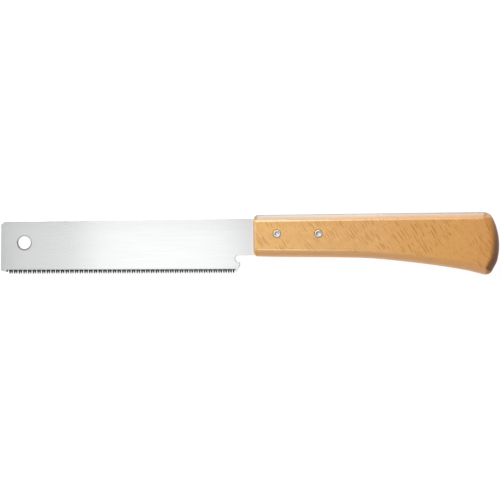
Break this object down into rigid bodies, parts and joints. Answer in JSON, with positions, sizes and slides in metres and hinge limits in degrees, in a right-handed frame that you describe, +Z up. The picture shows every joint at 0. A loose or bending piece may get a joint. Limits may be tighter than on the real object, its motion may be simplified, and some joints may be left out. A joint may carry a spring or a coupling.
{
  "type": "fine-tooth hand saw",
  "caption": "Small straight hand saw: a thin square-ended steel blade with fine teeth and a hang hole, its tang riveted into a kerf in a flared one-piece hardwood handle.",
  "frame": {"origin": "middle of the saw's box, on the flat surface that its broad side lies on", "axes": "+X from the blade's toe to the handle's butt, +Y towards the blade's back edge, +Z up out of the broad side that shows the rivets' rolled ends"},
  "size_m": [0.3, 0.0364, 0.018],
  "materials": {
    "blade_steel": "finely brushed bright spring steel, with a dark hardened tooth line",
    "handle_wood": "clear satin lacquer on warm beech with short brown ray flecks",
    "rivet_aluminium": "bright rolled rim with a dull hollow centre"
  },
  "bodies": {
    "root": {"blade": "blade_steel", "handle": "handle_wood", "rivet_front": "rivet_aluminium", "rivet_rear": "rivet_aluminium"}
  },
  "joints": []
}
